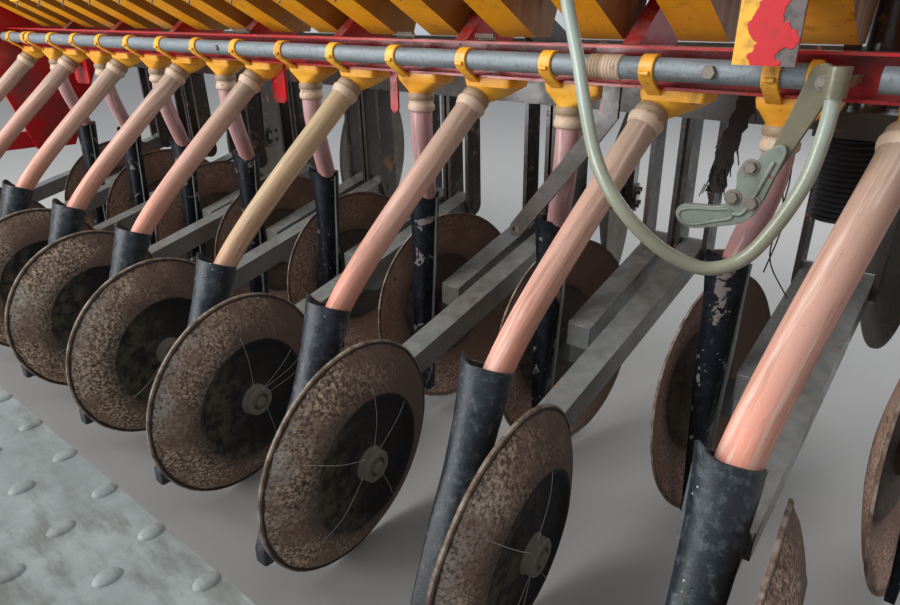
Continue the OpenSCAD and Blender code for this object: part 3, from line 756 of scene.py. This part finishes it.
def make_cobwebs():
    """Threads that run from a disc's boss to its rim."""
    for n, row in enumerate(REAR_ROWS, 1):
        web = Form()
        for _ in range(THREADS):
            t = random.uniform(0, 2 * pi)
            turn = random.uniform(-0.5, 0.5)
            near, far = on_disc(*THREAD_NEAR, t), on_disc(*THREAD_FAR, t + turn)
            middle = near.lerp(far, 0.5) + Vector((random.uniform(*THREAD_BULGE), 0, 0))
            web.rod(smooth_route([near, middle, far], 4), THREAD_R, 4)
        at = disc_matrix(REAR_DISC, row)
        put(f"web_{n}", web.mesh(f"web_{n}", "web"), f"disc_rear_{n}_body", at)


make_coulter_discs()
make_soil_discs()
make_cobwebs()

# The two ranks, in millimetres from a row's point on the rail. Looks are those of tubes, boots and strips.
# A strip has its side across the boot, its length, how far it stands out and its thickness.
Rank = namedtuple("Rank", "name rows angled spout mouth foot foot_size boot_r tube_r looks strip")
REAR_RANK = Rank("rear", REAR_ROWS, True, (-5, 34, -46), (-46, -217, -290), (-34, -348, -590), (22, 44), 27,
                 (17.4, 15.8), ("tube_pink", "boot_black", "boot_black"), ((-0.95, 0.3), 80, 9, 2.5))
FRONT_RANK = Rank("front", FRONT_ROWS, False, (7, 44, -50), (-38, 100, -220), (-29, 86, -588), (12, 42), 24.5,
                  (16.4, 15.4), ("tube_mauve", "boot_chipped", "arm_steel"), ((1, 0), 330, 5, 2))
# The rear row nearest the right end has a newer, wider tube.
WIDE_ROW, WIDE_R = row_x(ROWS - 2), (19.5, 19.5)
FUNNEL_X, FUNNEL_Y, FUNNEL_TOP = (-20, 56), (18, 68), -22
FUNNEL_RIM, FUNNEL_SKIRT = 4, 12
SPOUT_R, COLLAR_L = 16.6, 28
TUBE_STRAIGHT, TUBE_DEPTH = 8, 22
# Shares of its reach over which a tube keeps its cuff's and its boot's direction.
TUBE_LEAVES, TUBE_ENTERS = 0.3, 0.15
TUBE_STEPS = 26
# Along a boot: the ends of its lip, of what shows inside and of its round sleeve.
LIP_END, BOOT_INSIDE, BOOT_SLEEVE = 16, 60, 112
BOOT_WALL, BOOT_TAPER, BOOT_FLAT = 3.5, 4, 20
# How far a boot's ear stands out and up.
EAR_OUT, EAR_UP = 5.5, 9
SIDES = 48


def spout_frame(rank):
    """A spout's end, its direction and two across it: an angled one points at the boot's mouth."""
    spout = Vector(rank.spout)
    d = (Vector(rank.mouth) - spout).normalized() if rank.angled else Vector((0, 0, -1))
    return (spout, d, *across(d))


def boot_frame(rank):
    """A boot's mouth and foot, the direction between them and two directions across it."""
    mouth, foot = Vector(rank.mouth), Vector(rank.foot)
    axis = (foot - mouth).normalized()
    return (mouth, foot, axis, *across(axis))


def tube_route(rank, foot_r):
    """A seed tube's centreline, from its cuff into its boot, where it leans on the wall."""
    spout, d = spout_frame(rank)[:2]
    start = spout + COLLAR_L * d
    mouth, _, axis, u, v = boot_frame(rank)
    begin = start + TUBE_STRAIGHT * d
    lean = rank.boot_r - BOOT_WALL - foot_r - 0.6
    end = mouth + TUBE_DEPTH * axis + (u * 0.8 + v * 0.6) * lean
    reach = (end - begin).length
    leave, enter = begin + reach * TUBE_LEAVES * d, end - reach * TUBE_ENTERS * axis
    run = [start - 4 * d]
    for k in range(TUBE_STEPS + 1):
        t = k / TUBE_STEPS
        run.append((1 - t) ** 3 * begin + 3 * (1 - t) ** 2 * t * leave + 3 * (1 - t) * t ** 2 * enter
                   + t ** 3 * end)
    return run


def loft_at(form, rings, row, closed=False):
    form.loft([[place(*p, row) for p in points] for points in rings], closed)


def add_funnel(form, rank, row):
    """A rounded rectangular rim and skirt, drawn in to a round spout."""
    spout, d, u, v = spout_frame(rank)
    middle = Vector((sum(FUNNEL_X) / 2, sum(FUNNEL_Y) / 2, FUNNEL_TOP))
    a0, b0 = (FUNNEL_X[1] - FUNNEL_X[0]) / 2, (FUNNEL_Y[1] - FUNNEL_Y[0]) / 2
    rings = [ring(middle + Vector((0, 0, z)), EX, EY, a0 - inset, b0 - inset, SIDES, square)
             for z, inset, square in ((0, 0.8, 9), (-0.8, 0, 9), (-FUNNEL_RIM, 0, 9),
                                      (-FUNNEL_SKIRT, 1.5, 8))]
    skirt = middle + Vector((0, 0, -FUNNEL_SKIRT))
    for s in (0.15, 0.4, 0.65, 0.85, 1):
        centre = skirt.lerp(spout + 2 * d, s)
        a = (a0 - 2.5) * (1 - s) + SPOUT_R * s
        b = (b0 - 2.5) * (1 - s) + SPOUT_R * s
        ux, vy = EX.lerp(u, s).normalized(), EY.lerp(v, s).normalized()
        rings.append(ring(centre, ux, vy, a, b, SIDES, 7 * (1 - s) ** 1.6 + 2))
    rings.append(ring(spout + 6 * d, u, v, SPOUT_R, SPOUT_R, SIDES))
    loft_at(form, rings, row)


# A cuff's section: distance along the spout, and radius.
CUFF_ANGLED = [(3, 16.8), (3, 18.4), (4.5, 19.4), (12, 19.6), (13.5, 18.4), (14.5, 18.4), (15.5, 20),
               (17.5, 21.4), (20, 21.2), (25, 19.8), (29, 18.2), (29, 17.2)]
CUFF_STRAIGHT = [(1, 16.7), (1, 18), (3, 19.6), (10.5, 19.8), (12, 18.2), (17, 18.2), (18.5, 19.8),
                 (25, 20), (27.5, 18.4), (28, 16.4)]


def add_cuff(form, rank, row):
    spout, d, u, v = spout_frame(rank)
    section = CUFF_ANGLED if rank.angled else CUFF_STRAIGHT
    if row == WIDE_ROW:
        section = [(s, r + WIDE_R[0] - rank.tube_r[0]) for s, r in section]
    loft_at(form, [ring(spout + d * s, u, v, r, r, 40) for s, r in section], row, True)


def add_tube(form, rank, row):
    top_r, foot_r = WIDE_R if row == WIDE_ROW else rank.tube_r
    run = tube_route(rank, foot_r)
    radii = [top_r + (foot_r - top_r) * n / len(run) for n in range(len(run))]
    loft_at(form, sweep(run, radii, 32), row)


def boot_lip(rank):
    """Rings of a boot's rolled mouth, with an ear on its left."""
    mouth, _, axis, u, v = boot_frame(rank)
    outer = rank.boot_r
    inner = outer - BOOT_WALL
    rings = []
    for s, r in ((0, inner), (-2.2, inner + 0.6), (-3, inner + 1.8), (-2.2, outer + 0.6), (0.5, outer),
                 (LIP_END, outer)):
        lip = ring(mouth + s * axis, u, v, r, r, SIDES)
        flare = 1 if s < LIP_END else 0.5
        for j, p in enumerate(lip):
            left = max(0, -cos(2 * pi * j / SIDES - 0.6)) ** 3
            lip[j] = p + ((p - mouth).normalized() * EAR_OUT - axis * EAR_UP * left ** 2) * left * flare
        rings.append(lip)
    return rings


def add_boot(form, rank, row):
    """Sleeve with a rolled mouth, narrowing to a flat foot."""
    mouth, foot, axis, u, v = boot_frame(rank)
    w, h = rank.foot_size
    outer = rank.boot_r
    inner = outer - BOOT_WALL - 0.4
    narrow = outer - BOOT_TAPER
    sleeve_end = mouth + BOOT_SLEEVE * axis
    low = foot + Vector((0, 0, BOOT_FLAT))
    rings = [ring(mouth + BOOT_INSIDE * axis, u, v, inner, inner, SIDES)] + boot_lip(rank)
    rings.append(ring(mouth + BOOT_INSIDE * axis, u, v, outer - 2, outer - 2, SIDES))
    rings.append(ring(sleeve_end, u, v, narrow, narrow, SIDES, 2.1))
    for s in (0.25, 0.5, 0.75, 0.92):
        a, b = narrow * (1 - s) + w / 2 * s, narrow * (1 - s) + h / 2 * s
        ux, vy = u.lerp(EX, s).normalized(), v.lerp(EY, s).normalized()
        rings.append(ring(sleeve_end.lerp(low, s), ux, vy, a, b, SIDES, 2 + 5 * s))
    rings += [ring(centre, EX, EY, w / 2, h / 2, SIDES, 9) for centre in (low, foot)]
    loft_at(form, rings, row)


def add_boot_strip(form, rank, row):
    """A flat strip that stands off a boot's side."""
    side, length, out, thick = rank.strip
    mouth, _, axis, u, v = boot_frame(rank)
    w = (u * side[0] + v * side[1]).normalized()
    n = axis.cross(w)
    narrow = rank.boot_r - BOOT_TAPER
    section = [(-out / 2, -thick / 2), (out / 2, -thick / 2), (out / 2, thick / 2), (-out / 2, thick / 2)]
    rings = []
    for k in range(7):
        s = 4 + (length - 4) * k / 6
        r = rank.boot_r - 1.5 - 4 * min(1, s / BOOT_SLEEVE)
        if s > BOOT_SLEEVE:
            r = narrow + (rank.foot_size[0] / 2 + 3 - narrow) * (s - BOOT_SLEEVE) / 250
        centre = mouth + axis * s + w * (r + out / 2)
        rings.append([centre + w * a + n * b for a, b in section])
    loft_at(form, rings, row)


def make_rank(rank):
    """Funnels, tubes, boots and strips: one mesh for like pieces."""
    funnels, tubes, boots, strips = Form(), Form(), Form(), Form()
    for row in rank.rows:
        add_funnel(funnels, rank, row)
        add_tube(tubes, rank, row)
        add_boot(boots, rank, row)
        add_boot_strip(strips, rank, row)
    name = rank.name
    tube_look, boot_look, strip_look = rank.looks
    shape = "angled" if rank.angled else "straight"
    put_form(f"funnels_{name}", funnels, "yellow_plastic", 40, [f"funnels_{shape}"])
    put_form(f"tubes_{name}", tubes, tube_look, nodes=[f"seed_tubes_{name}"])
    put_form(f"sleeves_{name}", boots, boot_look, 30, [f"boots_{name}"])
    put_form(f"boot_strips_{name}", strips, strip_look)


def make_cuffs():
    cuffs = Form()
    for rank in (REAR_RANK, FRONT_RANK):
        for row in rank.rows:
            add_cuff(cuffs, rank, row)
    put_form("cuffs", cuffs, "cuff_rubber", 50, ["hose_collars"])


make_rank(REAR_RANK)
make_rank(FRONT_RANK)
make_cuffs()

LEVER_MM = LEVER_ROW * 1000
IN_MM = Matrix.Diagonal((MM, MM, 1, 1))


def rail_slice(x):
    """Frame for outlines of y and z, drawn out along x."""
    turn = Matrix(((0, 0, 1, 0), (1, 0, 0, 0), (0, 1, 0, 0), (0, 0, 0, 1)))
    return moved(x, 0, 0) @ turn @ IN_MM


def face(y, row=LEVER_ROW):
    """Frame for outlines of x and z, drawn out to the rear."""
    turn = Matrix(((1, 0, 0, 0), (0, 0, -1, 0), (0, 1, 0, 0), (0, 0, 0, 1)))
    return moved(0, y, 0, row) @ turn @ IN_MM


def to_rear(x, y, z):
    """Frame at a point, its x pointing to the rear."""
    return moved(x, y, z) @ turned(-90, "Z")


def add_bolt(form, at, radius, height, washer=1.35):
    """Hex head with a washer; the frame's x points out of the surface."""
    if washer:
        wide, thick = radius * washer, radius * 0.18
        form.turn([(0, 1), (0, wide), (thick, wide), (thick, 1)], at, 24)
    form.turn([(0, 0.5), (0, radius), (height * 0.85, radius), (height, radius * 0.86), (height, 0.5)], at, 6)


# Ribbed bellows: start, pitch and number of the ribs, and a rib as (share of the pitch, radius).
BELLOWS_AT = (56, 150, -70)
RIB_PITCH, RIBS = 6, 16
RIB = ((0, 22), (0.3, 26.5), (0.5, 28), (0.7, 26.5))


def make_bellows():
    outline = [(0, 18)]
    for k in range(RIBS):
        outline += [(k * RIB_PITCH + RIB_PITCH * share, r) for share, r in RIB]
    outline += [(RIBS * RIB_PITCH, 22), (RIBS * RIB_PITCH, 1)]
    form = Form()
    down = moved(*BELLOWS_AT, LEVER_ROW) @ turned(90, "Y")
    form.turn(outline, down)
    put_form("bellows_skin", form, "bellows_rubber", 60, ["bellows"])


# The rail's radius, the rings' outer radius and width, and y of the channel's web.
RAIL_R, RING_OUT, RING_W = 12, 15.2, 16
WEB_Y = 46
# Rings that hold no funnel: place along the rail, and width.
SPARE_RINGS = [(LEVER_MM + 36, 10), (row_x(1) * 1000 - 30, 12)]
# Section, in y and z, of the arm from a ring to its funnel.
RING_ARM = [(-14.4, -5), (-3, -13.6), (21, -26), (21, -28.5), (17, -28.5), (-11, -11)]


def add_ring(form, x, w):
    """A ring round the rail, with its strap to the channel."""
    outline = [(-w / 2, RAIL_R + 0.15), (-w / 2, RING_OUT - 0.8), (-w / 2 + 0.8, RING_OUT),
               (w / 2 - 0.8, RING_OUT), (w / 2, RING_OUT - 0.8), (w / 2, RAIL_R + 0.15)]
    form.turn(outline, moved(x, 0, 0), 40, True)
    along = Vector((x * MM, 0, 0))
    form.box(place(-w / 3, RING_OUT - 2, -8) + along, place(w / 3, WEB_Y - 3, 8) + along)


def add_ring_arm(form, x, w):
    """The arm from a ring to its funnel, and its screw."""
    form.prism(RING_ARM, w * 0.94 * MM, rail_slice(x - w * 0.47))
    screw = [(-w * 0.3, 0.4), (-w * 0.3, 2.6), (w * 0.3, 2.6), (w * 0.3, 0.4)]
    form.turn(screw, moved(x, -RING_OUT - 0.6, -4), 12, True)


def make_rings():
    form = Form()
    for x, w in [(row_x(k) * 1000, RING_W) for k in range(ROWS)] + SPARE_RINGS:
        add_ring(form, x, w)
        if w == RING_W:
            add_ring_arm(form, x, w)
    put_form("rings", form, "yellow_plastic", 40, ["ring_clamps"])


# The lever's outlines in x and z, from its row's point on the rail.
LEVER_Y = -17
LEVER_BAR = [(33, -4), (37, 10), (46, 14), (57, 10), (61, -3), (38, -58), (19, -104), (11, -108), (4, -102),
             (20, -52)]
LEVER_CAST = [(24, -60), (31, -66), (25, -90), (15, -124), (3, -140), (-22, -149), (-46, -155), (-60, -151),
              (-66, -142), (-62, -133), (-48, -130), (-26, -128), (-15, -122), (-9, -106), (-10, -90),
              (-3, -78), (4, -82), (10, -70)]
LEVER_PADDLE = [(-8, -137), (-26, -144), (-46, -151), (-59, -148), (-62, -141), (-57, -136), (-44, -133),
                (-24, -131), (-12, -129)]
LEVER_SPINE = [(-8, -133), (2, -130), (10, -112), (22, -76)]
LEVER_BOLTS = [(2, -84), (-10, -116), (9, -119)]
LEVER_PIVOT = (48, -3)


def make_lever():
    """Flat bar with a cast paddle, whose rim and spine stand out."""
    bar, cast, bolts = Form(), Form(), Form()
    bar.prism(LEVER_BAR, 6 * MM, face(LEVER_Y))
    cast.prism(rounded(LEVER_CAST), 9 * MM, face(LEVER_Y - 3))
    front = face(LEVER_Y - 12)
    rim = [front @ Vector((x, z, 0)) for x, z in rounded(LEVER_PADDLE)]
    cast.rod(rim + rim[:2], 0.0018)
    spine = [front @ Vector((x, z, 0)) for x, z in LEVER_SPINE]
    cast.rod(smooth_route(spine, 6), 0.0024)
    for x, z in LEVER_BOLTS:
        add_bolt(bolts, to_rear(LEVER_MM + x, LEVER_Y - 12, z), 6.2, 5.2)
    add_bolt(bolts, to_rear(LEVER_MM + LEVER_PIVOT[0], LEVER_Y - 6, LEVER_PIVOT[1]), 5, 4)
    soften(put_form("lever_bar", bar, "lever_paint", nodes=["rail_lever"]), 0.0012)
    soften(put_form("lever_cast", cast, "cast_steel"), 0.0012)
    put_form("lever_bolts", bolts, "bolt_steel")


# Footboard studs: pitch along and across it, shift of each row, the first one's place, how far they run
# past the outer rows and keep from the rear edge.
STUD_PITCH, STUD_GAP, STUD_SHIFT = 62.5, 35, -47
STUD_FIRST = (-107, -582)
STUD_PAST, STUD_KEEP = 60, 12
BOARD_Z, BOARD_REAR = -250, -730
# A stud's rings: height, and half its width and length.
STUD = ((-0.3, 6.8, 8.8), (0.9, 6.1, 8), (1.8, 4.3, 6), (2.2, 2, 3))
STUD_SIDES = 14


def add_stud(form, x, y):
    turns = [2 * pi * j / STUD_SIDES for j in range(STUD_SIDES)]
    form.loft([[place(x + a * cos(t), y + b * sin(t), BOARD_Z + z) for t in turns]
               for z, a, b in STUD])


def make_studs():
    form = Form()
    half = (ROWS - 1) / 2 * PITCH * 1000 + STUD_PAST
    first, y = LEVER_MM + STUD_FIRST[0], STUD_FIRST[1]
    row = 0
    while y > BOARD_REAR + STUD_KEEP:
        start = first + row * STUD_SHIFT
        for n in range(ceil((-half - start) / STUD_PITCH), floor((half - start) / STUD_PITCH) + 1):
            add_stud(form, start + n * STUD_PITCH, y)
        row += 1
        y -= STUD_GAP
    put_form("studs", form, "tread_steel", 60)


# Peeled skin of the tab beside the lever: two opposite corners.
TAB_SKIN = ((-29, -40.8, 10), (26, -39.9, 108))
# Red plates that hang from the channel: two sides, from the lever's row, and lower edge.
HUNG_PLATES = ((-855, -818, -92), (-1665, -1590, -104), (-205, -197, -72), (-560, -545, -88))
PLATE_TOP, PLATE_CORNER, PLATE_T = -20, 8, 4


def make_plates():
    skin, plates = Form(), Form()
    skin.box(*(place(*corner, LEVER_ROW) for corner in TAB_SKIN))
    put_form("tab_skin", skin, "peeled")
    for left, right, low in HUNG_PLATES:
        x0, x1, c = LEVER_MM + left, LEVER_MM + right, PLATE_CORNER
        plates.prism([(x0, PLATE_TOP), (x1, PLATE_TOP), (x1, low + c), (x1 - c, low), (x0 + c, low),
                      (x0, low + c)], PLATE_T * MM, face(WEB_Y + 6, 0))
    put_form("hung_plates", plates, "red_paint")


# Bolt heads on the rail: x from the lever's row, radius, height.
RAIL_BOLTS = ((-58, 7.5, 5), (-922, 5, 4))
# Wire clip and bolt at each housing.
CLIP = ((49, -30.5, 84), (49, -34, 80), (46, -35, 72), (40, -31, 70))
HOUSING_BOLT = (30, -30, 98)


def make_hardware():
    """Bolts on the rail, and a clip and a bolt at each housing."""
    bolts = Form()
    for x, radius, height in RAIL_BOLTS:
        add_bolt(bolts, to_rear(LEVER_MM + x, -RAIL_R + 0.5, 0), radius, height, 0)
    for k in range(ROWS):
        x = row_x(k) * 1000
        bolts.rod([place(x + dx, y, z) for dx, y, z in CLIP], 0.0016, 6)
        add_bolt(bolts, to_rear(x + HOUSING_BOLT[0], *HOUSING_BOLT[1:]), 5, 4)
    put_form("hardware", bolts, "bolt_steel")


# Small springs above the rail: x from the lever's row, centre, radius, and a point's advance and turn.
SPRINGS = (-510, -372, -895)
SPRING_Y, SPRING_Z, SPRING_R = 17, 26.8, 4.6
SPRING_STEP, SPRING_TURN, SPRING_POINTS = 0.55, 1.05, 52


def make_springs():
    springs = Form()
    for x in SPRINGS:
        springs.rod([place(LEVER_MM + x + n * SPRING_STEP,
                           SPRING_Y + SPRING_R * cos(n * SPRING_TURN),
                           SPRING_Z + SPRING_R * sin(n * SPRING_TURN))
                     for n in range(SPRING_POINTS)], 0.0009, 6)
    put_form("springs", springs, "bolt_steel")


# Ribbed sleeve: x from the lever's row, half its length, rib spacing, the ribs' two heights.
SLEEVE_X, SLEEVE_HALF, SLEEVE_STEP = -176, 19, 2
SLEEVE_LOW, SLEEVE_HIGH = 0.8, 1.6


def make_sleeve():
    sleeve = Form()
    outline = [(a, RAIL_R + 0.2 + (SLEEVE_LOW if n % 2 else SLEEVE_HIGH))
               for n, a in enumerate(range(-SLEEVE_HALF, SLEEVE_HALF + 1, SLEEVE_STEP))]
    sleeve.turn(outline, moved(LEVER_MM + SLEEVE_X, 0, 0), 32)
    put_form("rail_sleeve", sleeve, "cuff_rubber")


# Closing plates of the arms: half a side, and their middle in each rank.
ARM_HALF = 18.6
REAR_CAP, FRONT_CAP = (-50, -120, -443), (15, 105, -393)


def make_arm_caps():
    caps = Form()
    for rows, (x, y, z) in ((REAR_ROWS, REAR_CAP), (FRONT_ROWS, FRONT_CAP)):
        for row in rows:
            caps.box(place(x - ARM_HALF, y - 1.5, z - ARM_HALF, row),
                     place(x + ARM_HALF, y + 2, z + ARM_HALF, row))
    soften(put_form("arm_caps", caps, "arm_steel"), 0.001)


# From the lever's row: the strap's middle and the two wires.
STRAP = ((-57, 150, -12), (-62, 141, -50), (-74, 143, -95), (-84, 150, -156))
STRAP_SECTION = ((-11, -2), (11, -2), (11, 2), (-11, 2))
FIBRES = 36
WIRES = (((4, 140, -12), (2, 122, -66), (8, 118, -122), (3, 121, -182), (4, 125, -225), (30, 131, -268)),
         ((10, 140, -12), (12, 124, -60), (2, 116, -118), (9, 122, -176), (-2, 128, -240)))
FIBRE_R, WIRE_R = 0.0007, 0.0009


def make_strap():
    """Frayed strap beside the lever, with loose fibres."""
    strap = Form()
    run = smooth_route([Vector(p) for p in STRAP], 6)
    strap.loft([[place(LEVER_MM + p[0] + a + 2 * sin(n * 2.3), p[1] + b, p[2])
                 for a, b in STRAP_SECTION] for n, p in enumerate(run)])
    for _ in range(FIBRES):
        x, z = random.uniform(-12, 12), random.uniform(-150, -20)
        lean = random.uniform(-9, 9)
        top = Vector((-57 + 0.19 * z + x, 146, z))
        strap.rod([place(LEVER_MM + top[0], top[1], top[2]),
                   place(LEVER_MM + top[0] + lean, top[1] - 4, top[2] - random.uniform(12, 26))],
                  FIBRE_R, 4)
    put_form("strap", strap, "strap")


def make_wires():
    wires = Form()
    for route in WIRES:
        wires.rod(smooth_route([place(LEVER_MM + x, y, z) for x, y, z in route], 8), WIRE_R, 6)
    put_form("wires", wires, "wire_dark")


make_bellows()
make_rings()
make_lever()
make_studs()
make_plates()
make_hardware()
make_springs()
make_sleeve()
make_arm_caps()
make_strap()
make_wires()

FLOOR_HALF, FLOOR_TONE = 12, (0.42, 0.408, 0.388)


def make_floor():
    low, r = cad_box[0][2], FLOOR_HALF
    mesh = bpy.data.meshes.new("floor")
    mesh.from_pydata([(-r, -r, low), (r, -r, low), (r, r, low), (-r, r, low)], [], [(0, 1, 2, 3)])
    floor = add_object("floor", mesh)
    Look("floor", FLOOR_TONE).finish(0.9)
    mesh.materials.append(LOOKS["floor"])


SKY_TONE, SKY_STRENGTH = (0.86, 0.92, 1, 1), 0.58
# Square lamps: name, place, what it looks at, watts, side.
LAMPS = (("key", (-1.6, -3.2, 1.9), (0.3, -0.2, -0.5), 178, 2.4),
         ("low", (-0.9, -2.1, -0.62), (-0.1, -0.15, -0.1), 38, 1.2),
         ("rim", (1.5, 2.6, 1.4), (0.3, 0, -0.4), 46, 2))


def make_light():
    world = bpy.data.worlds.new("world")
    scene.world = world
    world.use_nodes = True
    sky = world.node_tree.nodes["Background"]
    sky.inputs["Color"].default_value = SKY_TONE
    sky.inputs["Strength"].default_value = SKY_STRENGTH
    for name, at, aim, energy, side in LAMPS:
        lamp = add_object(name, bpy.data.lights.new(name, "AREA"))
        lamp.data.energy = energy
        lamp.data.size = side
        lamp.location = at
        lamp.rotation_euler = (Vector(aim) - lamp.location).to_track_quat("-Z", "Y").to_euler()


make_floor()
make_light()
scene.view_settings.view_transform = "Standard"
